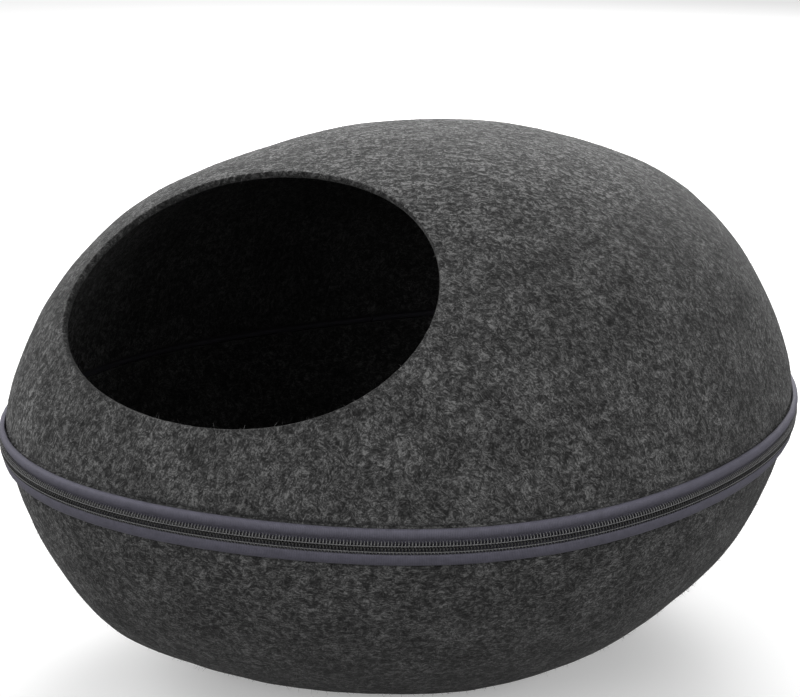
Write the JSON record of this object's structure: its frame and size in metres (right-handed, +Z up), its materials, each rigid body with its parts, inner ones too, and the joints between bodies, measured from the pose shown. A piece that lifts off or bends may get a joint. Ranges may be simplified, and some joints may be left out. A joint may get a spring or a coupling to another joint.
{
  "type": "igloo cat bed",
  "caption": "Egg-shaped felt cat bed: a domed upper shell with a slanting oval entrance, zipped all the way round to a shallower lower shell with a flat base.",
  "frame": {"origin": "middle of the footprint of the whole object, on the surface it stands on", "axes": "+Z up, X along the egg's long axis, entrance towards -X -Y and up"},
  "size_m": [0.4924, 0.396, 0.317],
  "materials": {
    "felt": "mottled dark grey pressed felt",
    "zip_tape": "grey-violet woven tape",
    "zip_coil": "black nylon coil",
    "slider_metal": "dark painted metal"
  },
  "bodies": {
    "root": {"upper_shell": "felt", "lower_shell": "felt", "zip_tape_upper": "zip_tape", "zip_tape_lower": "zip_tape", "zip_coil_upper": "zip_coil", "zip_coil_lower": "zip_coil", "zip_end_tab": "zip_tape", "zip_slider": "slider_metal", "zip_pull": "slider_metal"}
  },
  "joints": []
}
